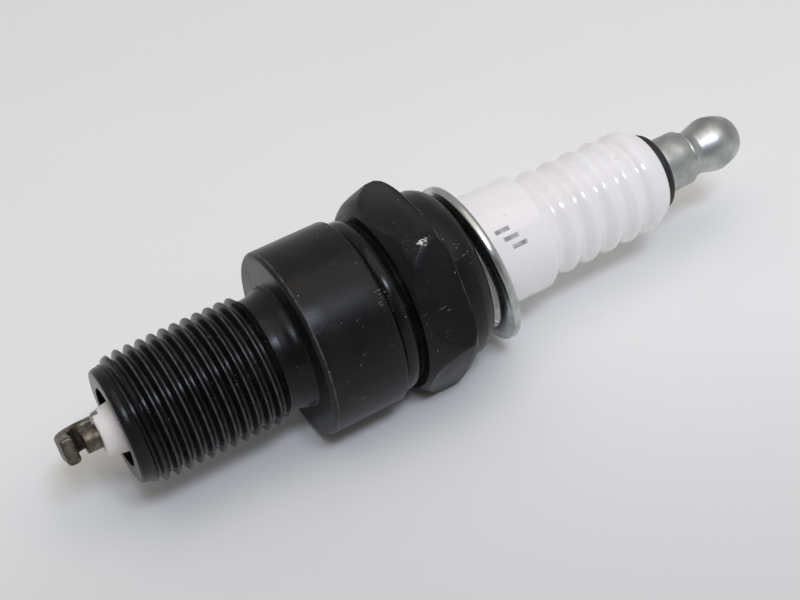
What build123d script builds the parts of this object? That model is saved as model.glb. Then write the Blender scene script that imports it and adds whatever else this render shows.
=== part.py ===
from build123d import *
import os

os.makedirs("parts", exist_ok=True)

# Stations run along X from the gasket seat face, positive towards the terminal.
# Radii are measured from the X axis. All sizes are in millimetres.

# Shell, outside
thread_crest_r = 6.95          # M14 x 1.25 external thread
thread_root_r = 6.32
thread_pitch = 1.25
thread_reach = 19.05
thread_start_gap = 1.20        # plain lead-in between the shell end and the first full crest
thread_phase = 47.0            # angle about X at which a crest passes the first crest station
first_crest = -thread_reach + 1.87
thread_end = -3.00
shell_end_r = 5.75
neck_r = 6.20                  # undercut between the thread and the seat
seat_inner_r = 6.75
seat_outer_r = 9.75
barrel_r = 10.20
barrel_length = 8.60
bead_r = 9.50                  # swelling of the thin wall ahead of the hexagon
thin_wall_r = 8.85
hex_across_flats = 20.64       # 13/16 inch spanner
hex_front = 11.10
hex_back = 16.50
hex_face_r = 9.90
collar_r = 9.45
collar_turn = 18.40            # where the rolled lip starts to curve in
lip_end = 19.95

# Shell, inside
nose_bore_r = 4.25
ledge_start = -9.00
stem_bore_r = 5.15
body_bore_r = 8.00
body_bore_start = 2.40
lip_thickness = 0.75
lip_bore_r = 6.80

# Insulator
nose_tip = -thread_reach - 1.70
nose_tip_r = 2.35
nose_root_r = 3.85
core_bore_r = 1.30
stud_bore_r = 2.20
bore_step = -1.75
stem_r = 4.95
belly_r = 7.75
belly_end = 13.60
land_r = 6.50
land_end = 29.10
rib_r = 5.97
rib_valley_r = 5.52
rib_first_valley = 30.85
rib_spacing = 2.72
rib_valleys = 5
insulator_top = 45.35
insulator_top_r = 4.72

# Firing end
core_r = 1.25                  # centre electrode
copper_r = 0.62
spark_gap = 0.90
core_tip = -thread_reach - 3.30
strap_width = 2.60
strap_thickness = 1.35
strap_angle = -34.0            # strap root, turned about X from +Y
strap_end = -1.45

# Conductor stack inside the insulator
core_head_r = 2.10
core_head_length = 1.15
lower_seal_length = 3.20
resistor_length = 6.40
upper_seal_length = 4.40
stud_grip_r = 1.70
stud_grip_depth = 3.00
stud_r = 1.95

# Terminal
terminal_base = 46.60
terminal_r = 3.175             # quarter inch post
terminal_shoulder = 50.70
terminal_neck_r = 2.55
terminal_head_r = 3.15
terminal_end = 58.00
seal_ring_r = 4.55

# Rings and packing
seat_washer_thickness = 0.35
packing_wire_r = 0.70
packing_lower = belly_end + belly_r - land_r + 0.60
packing_upper = 18.45
talc_start = packing_lower + 0.75
talc_end = packing_upper - 0.75
talc_gap = 0.02

# Loose crush gasket, hanging on the insulator land
gasket_outer_r = 9.20
gasket_bore_r = 7.30
gasket_thickness = 1.40
gasket_station = 21.85
gasket_tilt = 5.40
gasket_hang_gap = 0.05

first_thread = -thread_reach + thread_start_gap
groove_depth = thread_crest_r - thread_root_r
groove_root_w = thread_pitch / 8
groove_over = 0.12            # how far the groove's cutter stands clear of the crests
groove_mouth_w = groove_root_w + 2 * (groove_depth + groove_over) * 0.577
groove_lead = 2 * thread_pitch
groove_turns = 4                # length of one cut
groove_start = first_crest + thread_pitch / 2 - groove_lead
groove_start += thread_pitch * (90 - thread_phase) / 360
groove_stop = -1.20
groove_cuts = int((groove_stop - groove_start) / (groove_turns * thread_pitch)) + 1

# ---- shell -------------------------------------------------------------
hex_corner_r = hex_across_flats / 3 ** 0.5

# Hexagon with turned ends, which leave curved edges on its flats
with BuildPart() as hexagon:
    with BuildSketch(Plane.YZ.offset(hex_front)):
        RegularPolygon(radius=hex_corner_r, side_count=6, rotation=0)
    extrude(amount=hex_back - hex_front)
    with BuildSketch(Plane.XY):
        with BuildLine():
            Spline(
                (hex_front, hex_face_r),
                (hex_front + 0.75, hex_face_r + 0.85),
                (hex_front + 1.85, hex_face_r + 1.40),
                (hex_front + 3.20, hex_corner_r - 0.08),
            )
            Line(
                (hex_front + 3.20, hex_corner_r - 0.08),
                (hex_back - 1.15, hex_corner_r - 0.08),
            )
            Spline(
                (hex_back - 1.15, hex_corner_r - 0.08),
                (hex_back - 0.60, hex_corner_r - 0.40),
                (hex_back - 0.18, hex_corner_r - 1.10),
                (hex_back, hex_corner_r - 1.95),
            )
            Polyline(
                (hex_back, hex_corner_r - 1.95),
                (hex_back, 0),
                (hex_front, 0),
                (hex_front, hex_face_r),
            )
        make_face()
    revolve(axis=Axis.X, mode=Mode.INTERSECT)

with BuildPart() as shell:
    # Right-hand helical groove, cut in short lengths that run out past both ends of a plain sleeve
    with BuildSketch(Plane.YZ.offset(first_thread)):
        Circle(thread_crest_r)
    extrude(amount=thread_end - first_thread)
    for i in range(groove_cuts):
        span_start = groove_start + i * groove_turns * thread_pitch
        span_length = min(groove_turns * thread_pitch, groove_stop - span_start)
        with BuildLine() as groove_path:
            Helix(
                pitch=thread_pitch,
                height=span_length,
                radius=thread_root_r,
                center=(span_start, 0, 0),
                direction=(1, 0, 0),
            )
        groove_wire = groove_path.line
        start_point = groove_wire @ 0
        radial = Vector(0, start_point.Y, start_point.Z).normalized()
        groove_plane = Plane(origin=start_point, x_dir=radial, z_dir=groove_wire % 0)
        with BuildSketch(groove_plane):
            Polygon(
                (0, -groove_root_w / 2),
                (groove_depth + groove_over, -groove_mouth_w / 2),
                (groove_depth + groove_over, groove_mouth_w / 2),
                (0, groove_root_w / 2),
                align=None,
            )
        sweep(path=groove_wire, is_frenet=True, mode=Mode.SUBTRACT)
    # Plain lead-in at the firing end
    with BuildSketch(Plane.XY):
        Polygon(
            (-thread_reach, 0),
            (-thread_reach, shell_end_r),
            (-thread_reach + 0.30, shell_end_r + 0.25),
            (first_thread, neck_r),
            (first_thread + 1, neck_r),
            (first_thread + 1, 0),
            align=None,
        )
    revolve(axis=Axis.X)
    # Undercut neck, seat, barrel and the thin wall with its bead
    with BuildSketch(Plane.XY):
        with BuildLine():
            Polyline((thread_end - 1, 0), (thread_end - 1, neck_r), (-2.05, neck_r))
            Spline(
                (-2.05, neck_r),
                (-1.30, neck_r + 0.20),
                (-0.75, neck_r + 0.40),
                (0, seat_inner_r),
                tangents=((1, 0.12), (1, 0.10)),
            )
            Polyline(
                (0, seat_inner_r),
                (0, seat_outer_r),
                (0.30, barrel_r),
                (barrel_length - 0.40, barrel_r),
            )
            RadiusArc(
                (barrel_length - 0.40, barrel_r),
                (barrel_length, barrel_r - 0.40),
                0.40,
            )
            Line((barrel_length, barrel_r - 0.40), (barrel_length + 0.20, thin_wall_r + 0.25))
            Spline(
                (barrel_length + 0.20, thin_wall_r + 0.25),
                (barrel_length + 0.45, thin_wall_r + 0.12),
                (barrel_length + 1.15, bead_r),
                (barrel_length + 1.85, thin_wall_r + 0.12),
                (barrel_length + 2.10, thin_wall_r),
            )
            Polyline(
                (barrel_length + 2.10, thin_wall_r),
                (hex_front + 0.50, thin_wall_r),
                (hex_front + 0.50, 0),
                (thread_end - 1, 0),
            )
        make_face()
    revolve(axis=Axis.X)
    add(hexagon.part)
    # Collar and the lip rolled in over the packing
    with BuildSketch(Plane.XY):
        with BuildLine():
            Polyline(
                (hex_back - 0.50, 0),
                (hex_back - 0.50, collar_r + 0.05),
                (collar_turn, collar_r),
            )
            Spline(
                (collar_turn, collar_r),
                (collar_turn + 0.75, collar_r - 0.32),
                (lip_end - 0.30, collar_r - 0.70),
                (lip_end, collar_r - 1.25),
            )
            Polyline(
                (lip_end, collar_r - 1.25),
                (lip_end, 0),
                (hex_back - 0.50, 0),
            )
        make_face()
    revolve(axis=Axis.X)
    # Stepped bore with the conical ledge that carries the insulator
    with BuildSketch(Plane.XY):
        Polygon(
            (-thread_reach - 1, 0),
            (-thread_reach - 1, nose_bore_r),
            (ledge_start, nose_bore_r),
            (ledge_start + stem_bore_r - nose_bore_r, stem_bore_r),
            (body_bore_start, stem_bore_r),
            (body_bore_start + body_bore_r - stem_bore_r, body_bore_r),
            (lip_end - lip_thickness - 0.45, body_bore_r),
            (lip_end - lip_thickness, body_bore_r - 0.45),
            (lip_end - lip_thickness, lip_bore_r),
            (lip_end + 1, lip_bore_r),
            (lip_end + 1, 0),
            align=None,
        )
    revolve(axis=Axis.X, mode=Mode.SUBTRACT)
shell.part.label = "shell"
export_step(shell.part, "parts/shell.step")

# ---- ground electrode: a bent strap welded to the shell's end face ------
arm_inner = core_tip - spark_gap
arm_outer = arm_inner - strap_thickness
strap_inner_r = nose_bore_r + 0.10
strap_outer_r = strap_inner_r + strap_thickness
strap_plane = Plane(
    origin=(0, 0, 0),
    x_dir=(1, 0, 0),
    z_dir=Vector(0, 0, 1).rotate(Axis.X, strap_angle),
)

with BuildPart() as ground_electrode:
    with BuildSketch(strap_plane) as strap_outline:
        with BuildLine():
            Line((-thread_reach, strap_inner_r), (-thread_reach, strap_outer_r))
            Line((-thread_reach, strap_outer_r), (arm_outer + 2.10, strap_outer_r))
            RadiusArc(
                (arm_outer + 2.10, strap_outer_r),
                (arm_outer, strap_outer_r - 2.10),
                -2.10,
            )
            Line((arm_outer, strap_outer_r - 2.10), (arm_outer, strap_end))
            Line((arm_outer, strap_end), (arm_inner, strap_end))
            Line((arm_inner, strap_end), (arm_inner, strap_inner_r - 0.75))
            RadiusArc(
                (arm_inner, strap_inner_r - 0.75),
                (arm_inner + 0.75, strap_inner_r),
                0.75,
            )
            Line((arm_inner + 0.75, strap_inner_r), (-thread_reach, strap_inner_r))
        make_face()
    extrude(amount=strap_width / 2, both=True)
    strap_edges = ground_electrode.edges()
    weld_edges = strap_edges.filter_by_position(Axis.X, -thread_reach - 0.01, -thread_reach + 0.01)
    cross_edges = strap_edges.filter_by(Axis((0, 0, 0), strap_plane.z_dir))
    side_edges = strap_edges - weld_edges - cross_edges
    fillet(side_edges, radius=0.38)
ground_electrode.part.label = "ground_electrode"
export_step(ground_electrode.part, "parts/ground_electrode.step")

# ---- insulator -----------------------------------------------------------
seat_offset = seat_washer_thickness * 2 ** 0.5
seat_line = ledge_start - nose_bore_r + seat_offset
belly_line = body_bore_start - stem_bore_r + 0.70

rib_points = [(land_end + 1.05, rib_valley_r + 0.20)]
for i in range(rib_valleys):
    rib_points.append((rib_first_valley + i * rib_spacing, rib_valley_r))
    if i < rib_valleys - 1:
        rib_points.append((rib_first_valley + (i + 0.5) * rib_spacing, rib_r))
last_valley = rib_first_valley + (rib_valleys - 1) * rib_spacing
rib_points.append((last_valley + 0.85, rib_r - 0.12))

with BuildPart() as insulator:
    with BuildSketch(Plane.XY):
        with BuildLine():
            Polyline(
                (nose_tip, core_bore_r),
                (nose_tip, nose_tip_r - 0.35),
            )
            RadiusArc(
                (nose_tip, nose_tip_r - 0.35),
                (nose_tip + 0.35, nose_tip_r),
                0.35,
            )
            Polyline(
                (nose_tip + 0.35, nose_tip_r),
                (-thread_reach, nose_tip_r + 0.28),
                (seat_line + nose_root_r - 1.2, nose_root_r - 0.12),
                (seat_line + nose_root_r, nose_root_r),
                (seat_line + stem_r, stem_r),
                (belly_line + stem_r, stem_r),
                (belly_line + belly_r, belly_r),
                (belly_end, belly_r),
                (belly_end + belly_r - land_r, land_r),
                (land_end, land_r),
            )
            Spline(
                (land_end, land_r),
                (land_end + 0.40, land_r - 0.12),
                (land_end + 0.80, land_r - 0.50),
                rib_points[0],
                tangents=[(1, 0), (0.55, -1)],
            )
            Spline(*rib_points, tangents=[(0.55, -1), (1, 0.35)])
            Spline(
                rib_points[-1],
                (last_valley + 1.45, rib_r - 0.03),
                (last_valley + 2.55, 5.60),
                (insulator_top - 0.15, 5.22),
                (insulator_top, insulator_top_r),
                tangents=[(1, 0.35), (0, -1)],
            )
            Polyline(
                (insulator_top, insulator_top_r),
                (insulator_top, stud_bore_r),
                (bore_step, stud_bore_r),
                (bore_step, core_bore_r),
                (nose_tip, core_bore_r),
            )
        make_face()
    revolve(axis=Axis.X)
insulator.part.label = "insulator"
export_step(insulator.part, "parts/insulator.step")

# ---- centre electrode: nickel jacket on a copper core --------------------
head_top = bore_step + core_head_length
copper_start = core_tip + 1.60

with BuildPart() as centre_electrode:
    with BuildSketch(Plane.XY):
        Polygon(
            (core_tip, 0),
            (core_tip, core_r - 0.08),
            (core_tip + 0.08, core_r),
            (bore_step, core_r),
            (bore_step, core_head_r),
            (head_top - 0.25, core_head_r),
            (head_top, core_head_r - 0.25),
            (head_top, copper_r),
            (copper_start + copper_r, copper_r),
            (copper_start, 0),
            align=None,
        )
    revolve(axis=Axis.X)
centre_electrode.part.label = "centre_electrode"
export_step(centre_electrode.part, "parts/centre_electrode.step")

with BuildPart() as electrode_copper_core:
    with BuildSketch(Plane.XY):
        Polygon(
            (copper_start, 0),
            (copper_start + copper_r, copper_r),
            (head_top, copper_r),
            (head_top, 0),
            align=None,
        )
    revolve(axis=Axis.X)
electrode_copper_core.part.label = "electrode_copper_core"
export_step(electrode_copper_core.part, "parts/electrode_copper_core.step")

# ---- glass seals and resistor --------------------------------------------
resistor_start = head_top + lower_seal_length
resistor_end = resistor_start + resistor_length
upper_seal_end = resistor_end + upper_seal_length
stud_start = upper_seal_end - stud_grip_depth

with BuildPart() as lower_glass_seal:
    with BuildSketch(Plane.YZ.offset(head_top)):
        Circle(stud_bore_r)
    extrude(amount=lower_seal_length)
lower_glass_seal.part.label = "lower_glass_seal"
export_step(lower_glass_seal.part, "parts/lower_glass_seal.step")

with BuildPart() as resistor:
    with BuildSketch(Plane.YZ.offset(resistor_start)):
        Circle(stud_bore_r)
    extrude(amount=resistor_length)
resistor.part.label = "resistor"
export_step(resistor.part, "parts/resistor.step")

with BuildPart() as upper_glass_seal:
    with BuildSketch(Plane.YZ.offset(resistor_end)):
        Circle(stud_bore_r)
    extrude(amount=upper_seal_length)
    with BuildSketch(Plane.YZ.offset(stud_start)):
        Circle(stud_grip_r)
    extrude(amount=stud_grip_depth, mode=Mode.SUBTRACT)
upper_glass_seal.part.label = "upper_glass_seal"
export_step(upper_glass_seal.part, "parts/upper_glass_seal.step")

# ---- terminal: stud, quarter inch post and snap head in one piece --------
with BuildPart() as terminal:
    with BuildSketch(Plane.XY):
        with BuildLine():
            Polyline(
                (stud_start, 0),
                (stud_start, stud_grip_r),
                (upper_seal_end, stud_grip_r),
                (upper_seal_end + 0.25, stud_r),
                (terminal_base, stud_r),
                (terminal_base, terminal_r - 0.10),
                (terminal_base + 0.10, terminal_r),
                (terminal_shoulder, terminal_r),
                (terminal_shoulder + 0.15, terminal_r - 0.15),
            )
            Spline(
                (terminal_shoulder + 0.15, terminal_r - 0.15),
                (terminal_shoulder + 0.75, terminal_neck_r + 0.17),
                (terminal_shoulder + 1.45, terminal_neck_r),
                (terminal_shoulder + 2.40, terminal_neck_r + 0.24),
                (terminal_shoulder + 3.40, terminal_head_r - 0.08),
                (terminal_shoulder + 4.00, terminal_head_r),
                (terminal_shoulder + 4.35, terminal_head_r - 0.05),
            )
            Spline(
                (terminal_shoulder + 4.35, terminal_head_r - 0.05),
                (terminal_shoulder + 5.30, terminal_head_r - 0.24),
                (terminal_shoulder + 6.20, terminal_head_r - 0.56),
                (terminal_end - 0.45, terminal_head_r - 1.00),
                (terminal_end, terminal_head_r - 1.90),
            )
            Polyline(
                (terminal_end, terminal_head_r - 1.90),
                (terminal_end, 0),
                (stud_start, 0),
            )
        make_face()
    revolve(axis=Axis.X)
terminal.part.label = "terminal"
export_step(terminal.part, "parts/terminal.step")

with BuildPart() as terminal_seal_ring:
    with BuildSketch(Plane.XY):
        with BuildLine():
            Polyline(
                (insulator_top, seal_ring_r - 0.10),
                (insulator_top, stud_r + 0.10),
                (terminal_base, stud_r + 0.10),
                (terminal_base, seal_ring_r - 0.45),
            )
            Spline(
                (terminal_base, seal_ring_r - 0.45),
                (terminal_base - 0.20, seal_ring_r - 0.12),
                (insulator_top + 0.55, seal_ring_r),
                (insulator_top, seal_ring_r - 0.10),
            )
        make_face()
    revolve(axis=Axis.X)
terminal_seal_ring.part.label = "terminal_seal_ring"
export_step(terminal_seal_ring.part, "parts/terminal_seal_ring.step")

# ---- rings and packing between shell and insulator -----------------------
with BuildPart() as seat_washer:
    with BuildSketch(Plane.XY):
        Polygon(
            (seat_line - seat_offset + nose_bore_r, nose_bore_r),
            (seat_line - seat_offset + stem_r, stem_r),
            (seat_line + stem_r - 0.02, stem_r - 0.02),
            (seat_line + nose_bore_r - 0.02, nose_bore_r - 0.02),
            align=None,
        )
    revolve(axis=Axis.X)
seat_washer.part.label = "seat_washer"
export_step(seat_washer.part, "parts/seat_washer.step")

packing_mid_r = (land_r + body_bore_r) / 2
with BuildPart() as lower_packing_ring:
    with BuildSketch(Plane.XY):
        with Locations((packing_lower, packing_mid_r)):
            Circle(packing_wire_r)
    revolve(axis=Axis.X)
lower_packing_ring.part.label = "lower_packing_ring"
export_step(lower_packing_ring.part, "parts/lower_packing_ring.step")

with BuildPart() as talc_packing:
    with BuildSketch(Plane.YZ.offset(talc_start)):
        Circle(body_bore_r)
        Circle(land_r + talc_gap, mode=Mode.SUBTRACT)
    extrude(amount=talc_end - talc_start)
talc_packing.part.label = "talc_packing"
export_step(talc_packing.part, "parts/talc_packing.step")

with BuildPart() as upper_packing_ring:
    with BuildSketch(Plane.XY):
        with Locations((packing_upper, packing_mid_r)):
            Circle(packing_wire_r)
    revolve(axis=Axis.X)
upper_packing_ring.part.label = "upper_packing_ring"
export_step(upper_packing_ring.part, "parts/upper_packing_ring.step")

# ---- loose crush gasket ----------------------------------------------------
# Its bore rests on top of the insulator land, so it hangs low and leans away
# from the shell's lip at the bottom.
tilt_cos = Vector(1, 0, 0).dot(Vector(1, 0, 0).rotate(Axis.Y, gasket_tilt))
tilt_sin = (1 - tilt_cos ** 2) ** 0.5
gasket_drop = gasket_bore_r * tilt_cos - gasket_thickness / 2 * tilt_sin
gasket_drop -= land_r + gasket_hang_gap
gasket_axis = Axis((gasket_station, 0, -gasket_drop), (tilt_cos, 0, tilt_sin))
gasket_plane = Plane(
    origin=(gasket_station, 0, -gasket_drop),
    x_dir=(tilt_cos, 0, tilt_sin),
    z_dir=(tilt_sin, 0, -tilt_cos),
)

with BuildPart() as crush_gasket:
    with BuildSketch(gasket_plane):
        with BuildLine():
            Line(
                (-gasket_thickness / 2, gasket_bore_r + 0.15),
                (-gasket_thickness / 2, gasket_outer_r - 0.45),
            )
            RadiusArc(
                (-gasket_thickness / 2, gasket_outer_r - 0.45),
                (-gasket_thickness / 2 + 0.45, gasket_outer_r),
                0.45,
            )
            Line(
                (-gasket_thickness / 2 + 0.45, gasket_outer_r),
                (gasket_thickness / 2 - 0.45, gasket_outer_r),
            )
            RadiusArc(
                (gasket_thickness / 2 - 0.45, gasket_outer_r),
                (gasket_thickness / 2, gasket_outer_r - 0.45),
                0.45,
            )
            Polyline(
                (gasket_thickness / 2, gasket_outer_r - 0.45),
                (gasket_thickness / 2, gasket_bore_r + 0.15),
                (gasket_thickness / 2 - 0.15, gasket_bore_r),
                (-gasket_thickness / 2 + 0.15, gasket_bore_r),
                (-gasket_thickness / 2, gasket_bore_r + 0.15),
            )
        make_face()
    revolve(axis=gasket_axis)
crush_gasket.part.label = "crush_gasket"
export_step(crush_gasket.part, "parts/crush_gasket.step")
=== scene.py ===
import math

import bpy
from mathutils import Matrix, Vector


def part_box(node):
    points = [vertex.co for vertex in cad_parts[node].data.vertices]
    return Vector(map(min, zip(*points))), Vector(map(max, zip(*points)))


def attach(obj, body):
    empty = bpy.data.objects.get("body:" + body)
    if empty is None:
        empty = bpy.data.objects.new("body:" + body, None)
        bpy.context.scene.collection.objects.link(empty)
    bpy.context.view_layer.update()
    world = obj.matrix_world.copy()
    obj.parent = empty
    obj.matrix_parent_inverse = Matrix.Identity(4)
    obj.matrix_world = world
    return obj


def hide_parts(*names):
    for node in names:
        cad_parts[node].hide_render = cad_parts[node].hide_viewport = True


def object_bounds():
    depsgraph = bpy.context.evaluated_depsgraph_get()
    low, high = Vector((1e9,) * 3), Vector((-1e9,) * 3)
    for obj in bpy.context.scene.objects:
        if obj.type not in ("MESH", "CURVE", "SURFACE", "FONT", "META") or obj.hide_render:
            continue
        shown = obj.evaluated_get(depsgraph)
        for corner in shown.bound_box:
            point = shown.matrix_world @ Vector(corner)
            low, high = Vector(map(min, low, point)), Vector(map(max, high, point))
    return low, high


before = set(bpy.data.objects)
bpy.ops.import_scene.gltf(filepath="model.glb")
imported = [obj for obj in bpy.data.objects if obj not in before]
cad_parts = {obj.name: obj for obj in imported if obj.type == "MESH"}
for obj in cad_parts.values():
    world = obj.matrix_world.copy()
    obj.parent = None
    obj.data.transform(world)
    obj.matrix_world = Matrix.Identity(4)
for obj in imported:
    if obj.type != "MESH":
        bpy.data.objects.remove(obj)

cad_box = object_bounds()
MM = 0.001


# ---------------------------------------------------------------- modelling helpers
def activate(piece):
    bpy.ops.object.select_all(action="DESELECT")
    piece.select_set(True)
    bpy.context.view_layer.objects.active = piece


def apply_modifier(piece, kind, **settings):
    activate(piece)
    modifier = piece.modifiers.new(kind.title(), kind)
    for key, value in settings.items():
        setattr(modifier, key, value)
    bpy.ops.object.modifier_apply(modifier=modifier.name)


def turned(name, profile, steps=128):
    """A piece of revolution about X. profile is a list of (station, radius) in mm, walked in edit
    mode by extruding one vertex from point to point, then spun."""
    bpy.ops.object.select_all(action="DESELECT")
    here = Vector((profile[0][0] * MM, 0, profile[0][1] * MM))
    bpy.ops.mesh.primitive_plane_add(size=MM, location=(0, 0, 0))
    piece = bpy.context.object
    piece.name = name
    bpy.ops.object.mode_set(mode="EDIT")
    bpy.ops.mesh.select_all(action="SELECT")
    bpy.ops.mesh.merge(type="CENTER")
    bpy.ops.transform.translate(value=here)
    for station, radius in profile[1:]:
        there = Vector((station * MM, 0, radius * MM))
        bpy.ops.mesh.extrude_region_move(TRANSFORM_OT_translate={"value": there - here})
        here = there
    bpy.ops.mesh.select_all(action="SELECT")
    bpy.ops.mesh.remove_doubles(threshold=1e-7)
    bpy.ops.mesh.select_all(action="SELECT")
    bpy.ops.mesh.spin(steps=steps, angle=2 * math.pi, center=(0, 0, 0), axis=(1, 0, 0))
    bpy.ops.mesh.select_all(action="SELECT")
    bpy.ops.mesh.remove_doubles(threshold=2e-7)
    bpy.ops.mesh.normals_make_consistent(inside=False)
    bpy.ops.object.mode_set(mode="OBJECT")
    return piece


def smooth(piece, degrees=30):
    activate(piece)
    bpy.ops.object.shade_smooth_by_angle(angle=math.radians(degrees))


def settle(piece):
    """Puts the piece's place into its mesh."""
    activate(piece)
    bpy.ops.object.transform_apply(location=True, rotation=True, scale=True)


def arc(centre, radius, first, last, count=6):
    """Points on a circle in (station, radius), from one angle to another in degrees."""
    points = []
    for i in range(count + 1):
        a = math.radians(first + (last - first) * i / count)
        points.append((centre[0] + radius * math.cos(a), centre[1] + radius * math.sin(a)))
    return points


def flowing(knots, per_span=5):
    """A smooth curve through (station, radius) knots, for turned shapes with no flat or corner."""
    points = []
    for i in range(len(knots) - 1):
        before = knots[max(i - 1, 0)]
        a, b = knots[i], knots[i + 1]
        after = knots[min(i + 2, len(knots) - 1)]
        for j in range(per_span):
            t = j / per_span
            point = []
            for k in (0, 1):
                leaving = (b[k] - before[k]) / 2
                arriving = (after[k] - a[k]) / 2
                point.append(
                    (2 * t**3 - 3 * t**2 + 1) * a[k]
                    + (t**3 - 2 * t**2 + t) * leaving
                    + (3 * t**2 - 2 * t**3) * b[k]
                    + (t**3 - t**2) * arriving
                )
            points.append(tuple(point))
    points.append(knots[-1])
    return points


def station(node, end):
    """A node's lowest (0) or highest (1) station along the plug, in mm."""
    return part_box(node)[end][0] / MM


def finish_piece(piece, material, body, slot, *nodes):
    piece.data.materials.clear()
    piece.data.materials.append(material)
    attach(piece, body)
    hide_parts(*nodes)


# ---------------------------------------------------------------- material helpers
def rgb(code):
    """An sRGB hex colour as linear RGBA."""
    out = []
    for i in (1, 3, 5):
        c = int(code[i : i + 2], 16) / 255
        out.append(c / 12.92 if c <= 0.04045 else ((c + 0.055) / 1.055) ** 2.4)
    return (*out, 1.0)


def new_material(name):
    material = bpy.data.materials.new(name)
    material.use_nodes = True
    return material, material.node_tree.nodes["Principled BSDF"]


def add(material, kind, inputs, stops=(), **settings):
    """A node with its settings, its colour ramp's stops and its inputs, each a value or an
    output."""
    tree = material.node_tree
    node = tree.nodes.new(kind)
    for key, value in settings.items():
        setattr(node, key, value)
    if stops:
        elements = node.color_ramp.elements
        while len(elements) < len(stops):
            elements.new(1.0)
        for element, (position, colour) in zip(elements, stops):
            element.position = position
            element.color = colour
    for key, value in inputs.items():
        if isinstance(value, bpy.types.NodeSocket):
            tree.links.new(value, node.inputs[key])
        else:
            node.inputs[key].default_value = value
    return node


def link(material, shader, **outputs):
    """Joins outputs to the shader's sockets; an underscore in a name stands for a space."""
    for name, output in outputs.items():
        material.node_tree.links.new(output, shader.inputs[name.replace("_", " ")])


def grain(size):
    """A texture's scale for features of that size in mm."""
    return 1 / (size * MM)


# ---------------------------------------------------------------- stations and radii, in mm
shell_end = station("shell", 0)
lip_end = station("shell", 1)
nose_tip = station("insulator", 0)
insulator_top = station("insulator", 1)
core_tip = station("centre_electrode", 0)
arm_outer = station("ground_electrode", 0)
seal_start = station("terminal_seal_ring", 0)
post_start = station("terminal_seal_ring", 1)
terminal_tip = station("terminal", 1)
floor_height = cad_box[0][2]

thread_pitch = 1.25
thread_crest_r = 6.95
thread_root_r = 6.24
first_crest = -17.18          # where the first crest crosses thread_phase
thread_phase = 47.0           # degrees from +Y towards +Z
thread_first = shell_end + 0.65
thread_last = -2.80
thread_row = 0.04             # spacing of the mesh's rows along the thread
crest_half_width = 0.07
flank_width = 0.43
lead_in_slopes = ((-17.97, 6.33, 0.62), (-17.34, 6.72, 0.32))   # station, radius, rise
neck_r = 6.20

barrel_r = 10.20
barrel_length = 8.60
barrel_corner_r = 0.40
bead_middle = 9.80
bead_half_length = 1.20
thin_wall_r = 8.80
hex_front = 11.10
hex_back = 16.50
hex_corner_r = 11.916
hex_ring_r = 11.835           # turned ring that takes the corners off the hexagon
hex_inside_r = 8.40
hex_corner_ease = 0.16
collar_r = 9.50
collar_turn = 18.40
end_bore_r = 4.25
stem_bore_r = 5.15
body_bore_r = 8.00
lip_bore_r = 6.80

strap_angle = -34.0           # degrees about X, from +Y
strap_width = 2.75
strap_thickness = 1.35
strap_inner_r = 4.35
strap_bend_r = 1.85           # inside of the bend
strap_end = -1.75
strap_corner_r = 0.44
strap_tip_ease = 0.26

core_r = 1.25
core_head_r = 2.10
core_bore_r = 1.30
stud_bore_r = 2.20
stud_r = 1.95
nose_rim_r = 0.35
stem_r = 4.95
belly_r = 7.75

land_r = 6.50
rib_first = 30.85             # first valley
rib_spacing = 2.72
rib_valley_r = 5.50
rib_crest_r = 5.98
ribs = 5

post_r = 3.175
seal_bore_r = 2.05

gasket_station = 21.92
gasket_drop = 0.620
gasket_tilt = 6.40

# Ink bars on the land: station, degrees from +Y towards +Z, half length and half width in mm
ink_bars = (
    (24.3, 127.0, 0.85, 0.24),
    (24.9, 136.0, 0.85, 0.24),
    (25.5, 145.0, 0.85, 0.24),
)

knock_at = (14.3 * MM, -5.75 * MM, 10.0 * MM)   # bare spot on a hexagon corner
soot_at = (-20.45 * MM, 0.70 * MM, 2.15 * MM)     # smudge on the nose's rim

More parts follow.
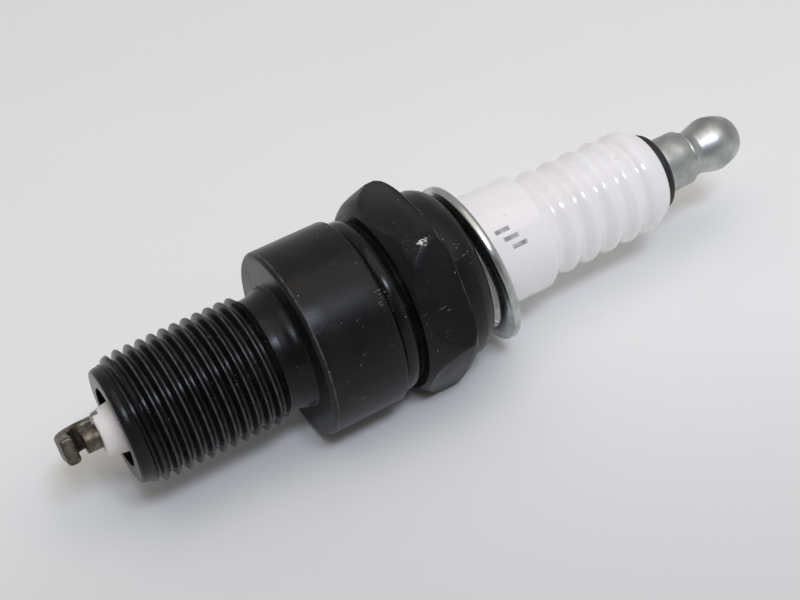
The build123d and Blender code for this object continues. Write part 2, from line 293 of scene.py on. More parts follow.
# ---------------------------------------------------------------- finishes
def black_oxide_steel():
    """Black oxide on turned steel: near-black satin, uneven like smoke and faintly brown in
    patches, worn grey by rubbing on the thread's crests and on the turned edges, where the grey is
    partly a painted highlight; scratched and dusty."""
    material, shader = new_material("black_oxide_steel")
    place = add(material, "ShaderNodeTexCoord", {}).outputs["Object"]
    axial = add(material, "ShaderNodeSeparateXYZ", {0: place}).outputs["X"]
    across = add(material, "ShaderNodeVectorMath", {0: place, 1: (0, 1, 1)}, operation="MULTIPLY")
    radius = add(material, "ShaderNodeVectorMath", {0: across.outputs[0]}, operation="LENGTH")

    # Mottling from the oxide bath, about 3 mm, and a fine 0.25 mm tooth
    cloud = add(
        material,
        "ShaderNodeTexNoise",
        {"Vector": place, "Scale": grain(3.0), "Detail": 4.0},
    )
    tooth = add(
        material,
        "ShaderNodeTexNoise",
        {"Vector": place, "Scale": grain(0.25), "Detail": 3.0},
    )
    oxide = add(
        material,
        "ShaderNodeValToRGB",
        {0: cloud.outputs[0]},
        stops=((0.30, rgb("#0b0c0d")), (0.55, rgb("#131313")), (0.72, rgb("#1c1916"))),
    )

    # Rubbing on the crests, then on the turned edges, each a narrow band along the plug; the edge
    # bands are partly wear and partly painted highlight, a lighter grey where the barrel's front
    # edge and the hexagon's back edge catch the light
    crest = add(
        material,
        "ShaderNodeMapRange",
        {0: radius.outputs["Value"], 1: (thread_crest_r - 0.03) * MM, 2: thread_crest_r * MM},
    )
    in_thread = add(material, "ShaderNodeMath", {0: axial, 1: -2.6 * MM}, operation="LESS_THAN")
    crest_wear_and_edge_highlight = add(
        material,
        "ShaderNodeMath",
        {0: crest.outputs[0], 1: in_thread.outputs[0]},
        operation="MULTIPLY",
    )
    # Painted highlight, partly wear: lighter grey bands on the barrel's front edge and the
    # hexagon's back edge
    for edge, width in ((0.40, 0.16), (hex_back - 0.04, 0.18)):
        away = add(material, "ShaderNodeMath", {0: axial, 1: edge * MM}, operation="SUBTRACT")
        away = add(material, "ShaderNodeMath", {0: away.outputs[0]}, operation="ABSOLUTE")
        edge_wear_and_highlight = add(
            material,
            "ShaderNodeMapRange",
            {0: away.outputs[0], 1: width * MM, 2: 0.3 * width * MM},
        )
        crest_wear_and_edge_highlight = add(
            material,
            "ShaderNodeMath",
            {0: crest_wear_and_edge_highlight.outputs[0], 1: edge_wear_and_highlight.outputs[0]},
            operation="MAXIMUM",
        )
    patches = add(
        material,
        "ShaderNodeTexNoise",
        {"Vector": place, "Scale": grain(0.9), "Detail": 3.0},
    )
    patches = add(
        material,
        "ShaderNodeMapRange",
        {0: patches.outputs[0], 1: 0.40, 2: 0.60, 3: 0.35, 4: 1.0},
    )
    crest_wear_and_edge_highlight = add(
        material,
        "ShaderNodeMath",
        {0: crest_wear_and_edge_highlight.outputs[0], 1: patches.outputs[0]},
        operation="MULTIPLY",
    )

    # Handling scratches, 0.14 mm wide and about 1.3 mm long, lying four ways
    hairline = None
    for lean in ((0.3, 0.2, 0.5), (1.2, 0.9, 2.1), (0.2, 1.3, 1.4), (0.9, 0.1, 2.8)):
        stretched = add(
            material,
            "ShaderNodeMapping",
            {"Vector": place, "Rotation": lean, "Scale": (0.11, 1.0, 1.0)},
        )
        streak = add(
            material,
            "ShaderNodeTexNoise",
            {
                "Vector": stretched.outputs[0],
                "Scale": grain(0.14),
                "Detail": 1.0,
                "Distortion": 0.5,
            },
        )
        streak = add(material, "ShaderNodeMapRange", {0: streak.outputs[0], 1: 0.71, 2: 0.78})
        if hairline:
            streak = add(
                material,
                "ShaderNodeMath",
                {0: hairline.outputs[0], 1: streak.outputs[0]},
                operation="MAXIMUM",
            )
        hairline = streak
    where = add(
        material,
        "ShaderNodeTexNoise",
        {"Vector": place, "Scale": grain(2.4), "Detail": 2.0},
    )
    where = add(material, "ShaderNodeMapRange", {0: where.outputs[0], 1: 0.54, 2: 0.64, 4: 0.8})
    hairline = add(
        material,
        "ShaderNodeMath",
        {0: hairline.outputs[0], 1: where.outputs[0]},
        operation="MULTIPLY",
    )

    # Dust, in pale specks about 0.12 mm across and 1.5 mm apart
    dust = add(
        material,
        "ShaderNodeTexVoronoi",
        {"Vector": place, "Scale": grain(1.5)},
    )
    dust = add(
        material,
        "ShaderNodeMapRange",
        {0: dust.outputs["Distance"], 1: 0.07, 2: 0.03, 4: 0.7},
    )

    # The knock on one hexagon corner, bare and bright in broken flakes
    knock = add(material, "ShaderNodeVectorMath", {0: place, 1: knock_at}, operation="SUBTRACT")
    knock = add(
        material,
        "ShaderNodeVectorMath",
        {0: knock.outputs[0], 1: (0.55, 1.0, 1.0)},
        operation="MULTIPLY",
    )
    knock = add(material, "ShaderNodeVectorMath", {0: knock.outputs[0]}, operation="LENGTH")
    knock = add(
        material,
        "ShaderNodeMapRange",
        {0: knock.outputs["Value"], 1: 1.05 * MM, 2: 0.30 * MM},
    )
    flakes = add(
        material,
        "ShaderNodeTexNoise",
        {"Vector": place, "Scale": grain(0.35), "Detail": 4.0},
    )
    flakes = add(
        material,
        "ShaderNodeMath",
        {0: flakes.outputs[0], 1: knock.outputs[0]},
        operation="MULTIPLY",
    )
    bare = add(material, "ShaderNodeMapRange", {0: flakes.outputs[0], 1: 0.44, 2: 0.54})

    colour = oxide.outputs[0]
    for amount, tint in (
        # Grey of the crest wear, and of the edge bands that are partly painted highlight
        (crest_wear_and_edge_highlight, "#4a4945"),
        (hairline, "#7a7a76"),
        (dust, "#8c8a84"),
        (bare, "#d8d6d0"),
    ):
        mixed = add(
            material,
            "ShaderNodeMix",
            {0: amount.outputs[0], 6: colour, 7: rgb(tint)},
            data_type="RGBA",
        )
        colour = mixed.outputs[2]
    # The thread and its neck are rolled smooth and the bead is pressed bright; barrel, hexagon and
    # collar stay as turned
    body = add(material, "ShaderNodeMath", {0: axial, 1: -0.1 * MM}, operation="GREATER_THAN")
    bead = add(
        material,
        "ShaderNodeMath",
        {0: axial, 1: bead_middle * MM, 2: bead_half_length * MM},
        operation="COMPARE",
    )
    dullness = add(material, "ShaderNodeMapRange", {0: body.outputs[0], 3: 0.85, 4: 1.0})
    dullness = add(
        material,
        "ShaderNodeMath",
        {0: bead.outputs[0], 1: -0.50, 2: dullness.outputs[0]},
        operation="MULTIPLY_ADD",
    )
    gloss = add(
        material,
        "ShaderNodeMapRange",
        {0: cloud.outputs[0], 1: 0.3, 2: 0.7, 3: 0.28, 4: 0.38},
    )
    gloss = add(
        material,
        "ShaderNodeMath",
        {0: gloss.outputs[0], 1: dullness.outputs[0]},
        operation="MULTIPLY",
    )
    relief = add(
        material,
        "ShaderNodeMath",
        {0: tooth.outputs[0], 1: hairline.outputs[0]},
        operation="SUBTRACT",
    )
    bump = add(
        material,
        "ShaderNodeBump",
        {"Height": relief.outputs[0], "Strength": 0.25, "Distance": 0.02 * MM},
    )
    link(material, shader, Base_Color=colour, Roughness=gloss.outputs[0], Normal=bump.outputs[0])
    shader.inputs["IOR"].default_value = 1.41
    shader.inputs["Specular Tint"].default_value = rgb("#c9cacd")
    return material


def glazed_alumina():
    """Fired alumina, glazed outside the shell: glossy warm white that gives each rib a small sharp
    glint. The nose inside the engine is bare and chalky, with soot at its rim."""
    material, shader = new_material("glazed_alumina")
    place = add(material, "ShaderNodeTexCoord", {}).outputs["Object"]
    parts = add(material, "ShaderNodeSeparateXYZ", {0: place})
    axial = parts.outputs["X"]
    glazed = add(material, "ShaderNodeMath", {0: axial, 1: 0.0}, operation="GREATER_THAN")

    body = add(
        material,
        "ShaderNodeTexNoise",
        {"Vector": place, "Scale": grain(6.0), "Detail": 3.0},
    )
    body = add(
        material,
        "ShaderNodeValToRGB",
        {0: body.outputs[0]},
        stops=((0.35, rgb("#efebea")), (0.65, rgb("#f4f1f0"))),
    )

    # Specks of dirt in the glaze, under half a millimetre
    dirt = add(
        material,
        "ShaderNodeTexNoise",
        {"Vector": place, "Scale": grain(0.8), "Detail": 4.0},
    )
    dirt = add(material, "ShaderNodeMapRange", {0: dirt.outputs[0], 1: 0.69, 2: 0.76, 4: 0.45})

    # Soot in one patch on the bare nose's rim
    soot = add(
        material,
        "ShaderNodeTexNoise",
        {"Vector": place, "Scale": grain(0.4), "Detail": 5.0},
    )
    smudge = add(material, "ShaderNodeVectorMath", {0: place, 1: soot_at}, operation="DISTANCE")
    smudge = add(
        material,
        "ShaderNodeMapRange",
        {0: smudge.outputs["Value"], 1: 1.35 * MM, 2: 0.30 * MM},
    )
    soot = add(
        material,
        "ShaderNodeMath",
        {0: soot.outputs[0], 1: smudge.outputs[0]},
        operation="MULTIPLY",
    )
    soot = add(material, "ShaderNodeMapRange", {0: soot.outputs[0], 1: 0.36, 2: 0.43, 4: 0.85})

    # Stamped ink: three short bars, read as distance round and along the land
    turn = add(
        material,
        "ShaderNodeMath",
        {0: parts.outputs["Z"], 1: parts.outputs["Y"]},
        operation="ARCTAN2",
    )
    ink = None
    for at, angle, half_long, half_wide in ink_bars:
        along = add(material, "ShaderNodeMath", {0: axial, 1: at * MM}, operation="SUBTRACT")
        along = add(material, "ShaderNodeMath", {0: along.outputs[0]}, operation="ABSOLUTE")
        along = add(
            material,
            "ShaderNodeMath",
            {0: along.outputs[0], 1: half_long * MM},
            operation="DIVIDE",
        )
        round_it = add(
            material,
            "ShaderNodeMath",
            {0: turn.outputs[0], 1: math.radians(angle)},
            operation="SUBTRACT",
        )
        round_it = add(material, "ShaderNodeMath", {0: round_it.outputs[0]}, operation="ABSOLUTE")
        round_it = add(
            material,
            "ShaderNodeMath",
            {0: round_it.outputs[0], 1: half_wide / land_r},
            operation="DIVIDE",
        )
        bar = add(
            material,
            "ShaderNodeMath",
            {0: along.outputs[0], 1: round_it.outputs[0]},
            operation="MAXIMUM",
        )
        bar = add(material, "ShaderNodeMapRange", {0: bar.outputs[0], 1: 1.15, 2: 0.85})
        if ink:
            bar = add(
                material,
                "ShaderNodeMath",
                {0: ink.outputs[0], 1: bar.outputs[0]},
                operation="MAXIMUM",
            )
        ink = bar
    worn_ink = add(
        material,
        "ShaderNodeTexNoise",
        {"Vector": place, "Scale": grain(0.9), "Detail": 2.0},
    )
    worn_ink = add(
        material,
        "ShaderNodeMapRange",
        {0: worn_ink.outputs[0], 1: 0.35, 2: 0.65, 3: 0.55, 4: 0.9},
    )
    ink = add(
        material,
        "ShaderNodeMath",
        {0: ink.outputs[0], 1: worn_ink.outputs[0]},
        operation="MULTIPLY",
    )

    bare = add(
        material,
        "ShaderNodeMix",
        {0: glazed.outputs[0], 6: rgb("#efe9e3"), 7: body.outputs[0]},
        data_type="RGBA",
    )
    colour = bare.outputs[2]
    for amount, tint in ((dirt, "#a89c90"), (soot, "#4a4540"), (ink, "#77737a")):
        mixed = add(
            material,
            "ShaderNodeMix",
            {0: amount.outputs[0], 6: colour, 7: rgb(tint)},
            data_type="RGBA",
        )
        colour = mixed.outputs[2]
    gloss = add(material, "ShaderNodeMapRange", {0: glazed.outputs[0], 3: 0.62, 4: 0.10})
    ripple = add(
        material,
        "ShaderNodeTexNoise",
        {"Vector": place, "Scale": grain(1.2), "Detail": 2.0},
    )
    bump = add(
        material,
        "ShaderNodeBump",
        {"Height": ripple.outputs[0], "Strength": 0.2, "Distance": 0.03 * MM},
    )
    link(material, shader, Base_Color=colour, Roughness=gloss.outputs[0], Normal=bump.outputs[0])
    shader.inputs["IOR"].default_value = 1.55
    shader.inputs["Subsurface Weight"].default_value = 0.15
    shader.inputs["Subsurface Radius"].default_value = (1.0, 0.9, 0.85)
    shader.inputs["Subsurface Scale"].default_value = 1.2 * MM
    return material


def nickel_alloy():
    """Nickel-manganese alloy after a first firing: dull brown-grey metal, darker in patches, with a
    drawn-wire tooth that keeps its highlights soft."""
    material, shader = new_material("nickel_alloy")
    place = add(material, "ShaderNodeTexCoord", {}).outputs["Object"]
    patches = add(
        material,
        "ShaderNodeTexNoise",
        {"Vector": place, "Scale": grain(0.9), "Detail": 4.0},
    )
    colour = add(
        material,
        "ShaderNodeValToRGB",
        {0: patches.outputs[0]},
        stops=((0.32, rgb("#463e35")), (0.52, rgb("#625a50")), (0.72, rgb("#7f776c"))),
    )
    gloss = add(
        material,
        "ShaderNodeMapRange",
        {0: patches.outputs[0], 1: 0.3, 2: 0.7, 3: 0.58, 4: 0.42},
    )
    tooth = add(
        material,
        "ShaderNodeTexNoise",
        {"Vector": place, "Scale": grain(0.15), "Detail": 3.0},
    )
    bump = add(
        material,
        "ShaderNodeBump",
        {"Height": tooth.outputs[0], "Strength": 0.35, "Distance": 0.03 * MM},
    )
    link(
        material,
        shader,
        Base_Color=colour.outputs[0],
        Roughness=gloss.outputs[0],
        Normal=bump.outputs[0],
    )
    shader.inputs["Metallic"].default_value = 1.0
    return material


def plated_metal(name, dark, light, dull, bright, tooth_size):
    """Electroplated zinc: pale grey metal whose crystals scatter the highlight, cloudier where the
    bath ran. Also gives the plain hidden metals their colour."""
    material, shader = new_material(name)
    place = add(material, "ShaderNodeTexCoord", {}).outputs["Object"]
    cloud = add(
        material,
        "ShaderNodeTexNoise",
        {"Vector": place, "Scale": grain(2.2), "Detail": 5.0},
    )
    colour = add(
        material,
        "ShaderNodeValToRGB",
        {0: cloud.outputs[0]},
        stops=((0.32, rgb(dark)), (0.68, rgb(light))),
    )
    gloss = add(
        material,
        "ShaderNodeMapRange",
        {0: cloud.outputs[0], 1: 0.3, 2: 0.7, 3: dull, 4: bright},
    )
    tooth = add(
        material,
        "ShaderNodeTexNoise",
        {"Vector": place, "Scale": grain(tooth_size), "Detail": 3.0},
    )
    bump = add(
        material,
        "ShaderNodeBump",
        {"Height": tooth.outputs[0], "Strength": 0.25, "Distance": 0.02 * MM},
    )
    link(
        material,
        shader,
        Base_Color=colour.outputs[0],
        Roughness=gloss.outputs[0],
        Normal=bump.outputs[0],
    )
    shader.inputs["Metallic"].default_value = 1.0
    return material


def moulded(name, dark, light, dull, bright, grain_size):
    """A pressed or moulded non-metal: even colour with a faint powdery variation."""
    material, shader = new_material(name)
    place = add(material, "ShaderNodeTexCoord", {}).outputs["Object"]
    powder = add(
        material,
        "ShaderNodeTexNoise",
        {"Vector": place, "Scale": grain(grain_size), "Detail": 4.0},
    )
    colour = add(
        material,
        "ShaderNodeValToRGB",
        {0: powder.outputs[0]},
        stops=((0.35, rgb(dark)), (0.65, rgb(light))),
    )
    gloss = add(
        material,
        "ShaderNodeMapRange",
        {0: powder.outputs[0], 1: 0.3, 2: 0.7, 3: dull, 4: bright},
    )
    bump = add(
        material,
        "ShaderNodeBump",
        {"Height": powder.outputs[0], "Strength": 0.2, "Distance": 0.02 * MM},
    )
    link(
        material,
        shader,
        Base_Color=colour.outputs[0],
        Roughness=gloss.outputs[0],
        Normal=bump.outputs[0],
    )
    return material


shell_finish = black_oxide_steel()
ceramic_finish = glazed_alumina()
electrode_finish = nickel_alloy()
post_finish = plated_metal("zinc_plated_post", "#9c9d9d", "#c4c7c5", 0.48, 0.36, 0.18)
gasket_finish = plated_metal("bright_zinc_gasket", "#a2a6a3", "#cbcecb", 0.34, 0.20, 0.25)
ring_finish = plated_metal("bright_steel_rings", "#a5a5a3", "#c4c3c0", 0.35, 0.25, 0.20)
copper_finish = plated_metal("drawn_copper", "#b06a48", "#cf8a62", 0.38, 0.28, 0.20)
seal_finish = moulded("nitrile_rubber", "#121212", "#1c1c1d", 0.62, 0.50, 0.30)
glass_finish = moulded("fused_glass_seal", "#3f3b36", "#57524b", 0.22, 0.12, 0.60)
resistor_finish = moulded("fired_carbon_resistor", "#1b1a19", "#2c2a29", 0.85, 0.70, 0.20)
talc_finish = moulded("pressed_talc", "#d8d4ca", "#e6e3db", 0.95, 0.85, 0.25)

# ---------------------------------------------------------------- shell
def cut_thread(piece):
    """Moves the plain length's vertices in to a right-hand groove with rounded crests, chamfered
    at the firing end and running out at the neck."""
    for vertex in piece.data.vertices:
        x = vertex.co.x / MM
        radius = math.hypot(vertex.co.y, vertex.co.z)
        if radius < (thread_crest_r - 0.01) * MM or x > thread_last:
            continue
        turn = (math.degrees(math.atan2(vertex.co.z, vertex.co.y)) - thread_phase) / 360
        crests = (x - first_crest) / thread_pitch - turn
        away = abs(crests - round(crests)) * thread_pitch
        depth = min(max((away - crest_half_width) / flank_width, 0), 1)
        depth = 0.5 * depth + 0.5 * depth * depth * (3 - 2 * depth)
        cut = thread_crest_r - depth * (thread_crest_r - thread_root_r)
        lead_in = min(r + rise * (x - at) for at, r, rise in lead_in_slopes)
        run_out = neck_r + (thread_last - x)
        wanted = max(neck_r, min(cut, lead_in, run_out)) * MM
        vertex.co.y *= wanted / radius
        vertex.co.z *= wanted / radius


rows = round((thread_last - thread_first) / thread_row)
thread_length = [(thread_first + i * thread_row, thread_crest_r) for i in range(rows + 1)]

shell = turned(
    "shell",
    [(shell_end, 4.30), (shell_end, 5.0), (shell_end, 5.84)]
    + [(shell_end + 0.03, 5.94), (shell_end + 0.12, 6.04), (shell_end + 0.30, 6.13)]
    + [(shell_end + 0.50, 6.18), (shell_end + 0.64, neck_r)]
    + thread_length
    + [(thread_last + 0.05, neck_r)]
    + flowing([(-2.05, neck_r), (-1.30, 6.40), (-0.75, 6.60), (-0.20, 6.72), (0.0, 6.84)])
    + [(0.0, 8.0), (0.0, 9.70)]
    + flowing([(0.0, 9.78), (0.12, 9.97), (0.32, 10.15), (0.50, barrel_r)], 3)
    + [(2.5, barrel_r), (4.5, barrel_r), (6.5, barrel_r)]
    + arc((barrel_length - barrel_corner_r, barrel_r - barrel_corner_r), barrel_corner_r, 90, 10)
    + [(8.66, 9.52), (8.72, 9.34)]
    + flowing(
        [(8.80, 9.30), (9.00, 9.45), (9.40, 9.58), (9.90, 9.57), (10.35, 9.40), (10.70, 9.12)]
    )
    + [(10.82, 8.95), (10.88, thin_wall_r), (hex_front + 0.6, thin_wall_r), (13.8, thin_wall_r)]
    + [(hex_back - 0.6, thin_wall_r)]
    + [(hex_back - 0.6, collar_r - 0.06), (hex_back, collar_r), (17.4, collar_r - 0.02)]
    + flowing([(collar_turn, 9.45), (19.15, 9.13), (19.65, 8.75), (19.88, 8.42), (lip_end, 8.10)])
    + [(lip_end, 7.60), (lip_end, 6.95), (lip_end - 0.04, 6.85), (lip_end - 0.15, lip_bore_r)]
    + [(19.20, lip_bore_r), (19.20, 7.55), (18.75, body_bore_r), (12.0, body_bore_r)]
    + [(5.25, body_bore_r), (2.40, stem_bore_r), (-3.0, stem_bore_r), (-8.10, stem_bore_r)]
    + [(-9.00, end_bore_r), (-14.0, end_bore_r), (shell_end + 0.06, end_bore_r)]
    + [(shell_end, 4.30)],
    steps=144,
)
cut_thread(shell)

# The hexagon is a six-sided bar, its corners eased, kept where it crosses a turned ring
bpy.ops.object.select_all(action="DESELECT")
bpy.ops.mesh.primitive_cylinder_add(
    vertices=6,
    radius=hex_corner_r * MM,
    depth=(hex_back - hex_front) * MM,
    location=((hex_front + hex_back) / 2 * MM, 0, 0),
    rotation=(0, math.pi / 2, 0),
)
hexagon = bpy.context.object
hexagon.name = "hexagon"
settle(hexagon)
bpy.ops.object.mode_set(mode="EDIT")
bpy.ops.mesh.select_all(action="DESELECT")
bpy.ops.object.mode_set(mode="OBJECT")
for edge in hexagon.data.edges:
    first, last = (hexagon.data.vertices[i].co for i in edge.vertices)
    edge.select = abs(first.x - last.x) > MM
bpy.ops.object.mode_set(mode="EDIT")
bpy.ops.mesh.select_mode(type="EDGE")
bpy.ops.mesh.bevel(offset=hex_corner_ease * MM, segments=3)
bpy.ops.mesh.select_mode(type="VERT")
bpy.ops.object.mode_set(mode="OBJECT")

blank = turned(
    "hexagon_blank",
    [(hex_front, hex_inside_r)]
    + flowing([(hex_front, 9.90), (11.85, 10.75), (12.95, 11.30), (14.30, 11.82)], 6)
    + [(14.80, hex_ring_r), (15.25, hex_ring_r)]
    + flowing([(15.35, 11.82), (15.90, 11.52), (16.32, 10.82), (hex_back, 9.97)], 5)
    + [(hex_back, hex_inside_r), (hex_front, hex_inside_r)],
    steps=240,
)
apply_modifier(hexagon, "BOOLEAN", operation="INTERSECT", solver="EXACT", object=blank)
bpy.data.objects.remove(blank)
apply_modifier(shell, "BOOLEAN", operation="UNION", solver="EXACT", object=hexagon)
bpy.data.objects.remove(hexagon)
smooth(shell, 38)
finish_piece(shell, shell_finish, "plug", "black_oxide_steel", "shell")

# ---------------------------------------------------------------- insulator
rib_knots = [(30.15, 5.72)]
for rib in range(ribs):
    valley = rib_first + rib_spacing * rib
    rib_knots.append((valley, rib_valley_r))
    rib_knots.append((valley + rib_spacing / 2, rib_crest_r))
rib_knots[-1] = (42.58, 5.85)     # the last rib runs into the shoulder under the terminal
rib_knots += [(43.18, 5.94), (43.75, 5.84), (44.28, 5.60), (44.80, 5.36), (45.15, 5.16)]

insulator = turned(
    "insulator",
    [(nose_tip, core_bore_r), (nose_tip, 2.00)]
    + arc((nose_tip + nose_rim_r, 2.00), nose_rim_r, 180, 90, 5)
    + flowing([(-19.90, 2.48), (-19.05, 2.63), (-15.0, 3.30), (-11.0, 3.85), (-9.6, 3.97)], 4)
    + [(-8.6, stem_r), (-3.0, stem_r), (1.9, stem_r), (3.6, 6.70), (5.0, belly_r), (9.0, belly_r)]
    + [(13.60, belly_r), (14.85, land_r), (18.5, land_r), (22.0, land_r), (25.5, land_r)]
    + flowing([(28.75, land_r), (29.15, land_r - 0.04), (29.60, 6.14), (29.95, 5.86)], 4)
    + flowing(rib_knots, 8)
    + flowing([(45.15, 5.16), (45.28, 5.02), (insulator_top, 4.85)], 3)
    + [(insulator_top, 3.4), (insulator_top, stud_bore_r), (22.0, stud_bore_r)]
    + [(-1.75, stud_bore_r), (-1.75, core_bore_r), (-11.0, core_bore_r), (nose_tip, core_bore_r)],
    steps=144,
)
smooth(insulator, 35)
finish_piece(insulator, ceramic_finish, "plug", "ceramic", "insulator")

# ---------------------------------------------------------------- electrodes
centre_electrode = turned(
    "centre_electrode",
    [(core_tip, 0), (core_tip, 0.60), (core_tip, 1.14)]
    + arc((core_tip + 0.10, 1.15), 0.10, 180, 90, 4)
    + [(nose_tip, core_r), (-11.0, core_r), (-1.70, core_r), (-1.60, core_head_r)]
    + [(-0.60, core_head_r), (-0.60, 0)],
    steps=96,
)
smooth(centre_electrode, 35)
finish_piece(centre_electrode, electrode_finish, "plug", "nickel", "centre_electrode")

# The strap's rounded section stands on the shell's end face, runs out, turns through the bend and
# ends over the core
bpy.ops.object.select_all(action="DESELECT")
bpy.ops.mesh.primitive_plane_add(
    size=1,
    location=((shell_end + 0.02) * MM, (strap_inner_r + strap_thickness / 2) * MM, 0),
    rotation=(0, math.pi / 2, 0),
)
strap = bpy.context.object
strap.name = "ground_electrode"
strap.scale = (strap_width * MM, strap_thickness * MM, 1)
settle(strap)
bpy.ops.object.mode_set(mode="EDIT")
bpy.ops.mesh.select_all(action="SELECT")
bpy.ops.mesh.bevel(offset=strap_corner_r * MM, segments=8, affect="VERTICES")
bpy.ops.mesh.select_all(action="SELECT")
bend_start = arm_outer + strap_thickness + strap_bend_r
leg_step = (bend_start - shell_end - 0.02) / 4 * MM
for i in range(4):
    bpy.ops.mesh.extrude_region_move(TRANSFORM_OT_translate={"value": (leg_step, 0, 0)})
bpy.ops.mesh.spin(
    steps=16,
    angle=math.pi / 2,
    center=(bend_start * MM, (strap_inner_r - strap_bend_r) * MM, 0),
    axis=(0, 0, -1),
)
arm_step = (strap_end - (strap_inner_r - strap_bend_r)) / 5 * MM
for i in range(5):
    bpy.ops.mesh.extrude_region_move(TRANSFORM_OT_translate={"value": (0, arm_step, 0)})
bpy.ops.mesh.bevel(offset=strap_tip_ease * MM, segments=5)
bpy.ops.mesh.select_all(action="SELECT")
bpy.ops.mesh.remove_doubles(threshold=1e-7)
bpy.ops.mesh.normals_make_consistent(inside=False)
bpy.ops.object.mode_set(mode="OBJECT")
strap.rotation_euler = (math.radians(strap_angle), 0, 0)
settle(strap)
smooth(strap, 35)
finish_piece(strap, electrode_finish, "plug", "nickel", "ground_electrode")

# ---------------------------------------------------------------- terminal and its seal
terminal = turned(
    "terminal",
    [(13.40, 0), (13.40, stud_r), (30.0, stud_r), (seal_start, stud_r), (post_start, stud_r)]
    + [(post_start, 3.05)]
    + arc((post_start + 0.10, 3.075), 0.10, 180, 90, 3)
    + [(48.0, post_r), (49.4, post_r)]
    + [(50.50, post_r), (50.62, 3.14), (50.74, 3.02), (50.78, 2.90), (50.80, 2.78), (50.88, 2.76)]
    + flowing([(50.96, 2.80), (51.20, 2.79), (51.60, 2.64), (52.15, 2.55)], 4)
    + flowing([(52.15, 2.55), (53.10, 2.79), (54.10, 3.07), (54.65, 3.15), (55.08, 3.155)], 5)
    + [(55.12, 3.09), (55.18, 3.08)]
    + flowing([(55.25, 3.08), (56.0, 2.93), (56.9, 2.60), (57.45, 2.24), (57.80, 1.80)], 5)
    + [(57.93, 1.50), (57.98, 1.30), (terminal_tip, 1.12), (terminal_tip, 0.5), (terminal_tip, 0)],
    steps=120,
)
smooth(terminal, 35)
finish_piece(terminal, post_finish, "plug", "zinc_plate", "terminal")

seal_ring = turned(
    "terminal_seal_ring",
    [(seal_start, seal_bore_r), (seal_start, 3.4), (seal_start, 4.40)]
    + flowing([(seal_start + 0.03, 4.45), (45.60, 4.53), (45.90, 4.55), (46.20, 4.52)], 4)
    + flowing([(46.20, 4.52), (46.45, 4.38), (46.57, 4.20), (post_start, 4.02)], 4)
    + [(post_start, 3.0), (post_start, seal_bore_r), (seal_start, seal_bore_r)],
    steps=120,
)
smooth(seal_ring, 35)
finish_piece(seal_ring, seal_finish, "plug", "black_rubber", "terminal_seal_ring")

# ---------------------------------------------------------------- crush gasket
# A folded strip: the seat side hollows in from the rolled rim to the inner flange, and the fold's
# slit opens in the bore
gasket = turned(
    "crush_gasket",
    flowing(
        [(-0.14, 7.32), (-0.50, 7.28), (-0.80, 7.34), (-0.88, 7.50), (-0.84, 7.84), (-0.72, 8.22)]
        + [(-0.54, 8.58), (-0.37, 8.84), (-0.27, 9.02), (-0.14, 9.14), (0.06, 9.19), (0.32, 9.19)]
        + [(0.54, 9.11), (0.67, 8.94), (0.69, 8.68), (0.65, 8.34), (0.58, 8.05), (0.64, 7.75)]
        + [(0.66, 7.55), (0.50, 7.36), (0.22, 7.30), (0.05, 7.34)],
        5,
    )
    + [(0.00, 7.42), (-0.01, 7.80), (-0.07, 7.80), (-0.09, 7.42), (-0.14, 7.32)],
    steps=160,
)
gasket.rotation_euler = (0, -math.radians(gasket_tilt), 0)
gasket.location = (gasket_station * MM, 0, -gasket_drop * MM)
settle(gasket)
smooth(gasket, 35)
finish_piece(gasket, gasket_finish, "gasket", "zinc_plate", "crush_gasket")

# ---------------------------------------------------------------- inside the sealed plug
inner_finishes = {
    "electrode_copper_core": copper_finish,
    "lower_glass_seal": glass_finish,
    "resistor": resistor_finish,
    "upper_glass_seal": glass_finish,
    "seat_washer": ring_finish,
    "lower_packing_ring": ring_finish,
    "talc_packing": talc_finish,
    "upper_packing_ring": ring_finish,
}
for node, finish in inner_finishes.items():
    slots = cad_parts[node].data.materials
    slots.clear()
    slots.append(finish)

# ---------------------------------------------------------------- floor, lights and camera
# The paper is painted greyer towards the front: a painted shade for the light falling off on the
# camera side
bpy.ops.object.select_all(action="DESELECT")
bpy.ops.mesh.primitive_plane_add(size=6, location=(0, 0, floor_height))
floor = bpy.context.object
floor.name = "floor"
paper, paper_shader = new_material("matt_paper")
paper_place = add(paper, "ShaderNodeTexCoord", {}).outputs["Object"]
paper_fibre = add(
    paper,
    "ShaderNodeTexNoise",
    {"Vector": paper_place, "Scale": grain(40), "Detail": 3.0},
)
paper_tint = add(
    paper,
    "ShaderNodeValToRGB",
    {0: paper_fibre.outputs[0]},
    stops=((0.3, rgb("#ececea")), (0.7, rgb("#eeeeec"))),
)
paper_depth = add(
    paper,
    "ShaderNodeVectorMath",
    {0: paper_place, 1: (0.42, 0.91, 0)},
    operation="DOT_PRODUCT",
)
# Painted shade: a smoothstep along the floor that mixes the paper towards a darker grey at the
# front
paper_painted_shade = add(
    paper,
    "ShaderNodeMapRange",
    {0: paper_depth.outputs["Value"], 1: 15 * MM, 2: -45 * MM},
    interpolation_type="SMOOTHSTEP",
)
paper_with_painted_shade = add(
    paper,
    "ShaderNodeMix",
    {0: paper_painted_shade.outputs[0], 6: paper_tint.outputs[0], 7: rgb("#d2d2d0")},
    data_type="RGBA",
)
link(paper, paper_shader, Base_Color=paper_with_painted_shade.outputs[2])
paper_shader.inputs["Roughness"].default_value = 0.75
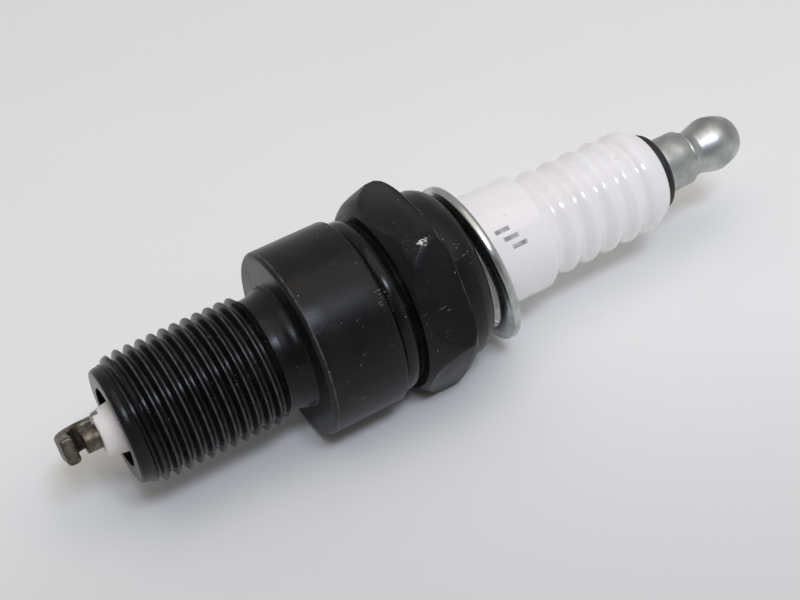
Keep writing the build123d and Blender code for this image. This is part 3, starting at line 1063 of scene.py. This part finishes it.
floor.data.materials.append(paper)

world = bpy.data.worlds.new("soft_room")
bpy.context.scene.world = world
world.use_nodes = True
room = world.node_tree.nodes["Background"]
room.inputs["Color"].default_value = rgb("#ffffff")
# Even all round but for a dark card in front of the plug, which keeps the black steel black
room_side = add(world, "ShaderNodeTexCoord", {}).outputs["Generated"]
room_side = add(
    world,
    "ShaderNodeVectorMath",
    {0: room_side, 1: (-0.318, -0.689, 0.650)},
    operation="DOT_PRODUCT",
)
room_side = add(
    world,
    "ShaderNodeMapRange",
    {0: room_side.outputs["Value"], 1: 0.58, 2: 0.92, 3: 0.47, 4: 0.10},
)
world.node_tree.links.new(room_side.outputs[0], room.inputs["Strength"])


def panel(name, towards, distance, wide, tall, power, tint):
    """A soft rectangular light that looks at the plug from a direction."""
    lamp = bpy.data.lights.new(name, "AREA")
    lamp.shape = "RECTANGLE"
    lamp.size = wide
    lamp.size_y = tall
    lamp.energy = power
    lamp.color = rgb(tint)[:3]
    holder = bpy.data.objects.new(name, lamp)
    bpy.context.scene.collection.objects.link(holder)
    away = Vector(towards).normalized()
    holder.location = Vector((0.01, 0, 0)) + away * distance
    holder.rotation_euler = away.to_track_quat("Z", "Y").to_euler()


panel("strip_lamp", (0.0, -0.515, 0.857), 0.60, 0.20, 0.10, 1.45, "#dde7ff")
panel("ceiling", (0.08, -0.22, 1.0), 0.90, 1.00, 1.00, 3.3, "#fff6e6")

camera = bpy.data.objects.new("camera", bpy.data.cameras.new("camera"))
bpy.context.scene.collection.objects.link(camera)
camera.data.lens = 64.64
camera.data.sensor_width = 36.0
camera.data.clip_start = 0.01
camera_at = Vector((-34.724, -104.502, 97.450)) * MM
camera_aim = Vector((12.893, -1.181, 0.0)) * MM
level = (camera_at - camera_aim).to_track_quat("Z", "Y").to_matrix()
roll = Matrix.Rotation(math.radians(-8.937), 3, "Z")
camera.location = camera_at
camera.rotation_euler = (level @ roll).to_euler()
bpy.context.scene.camera = camera
bpy.context.scene.view_settings.view_transform = "Standard"
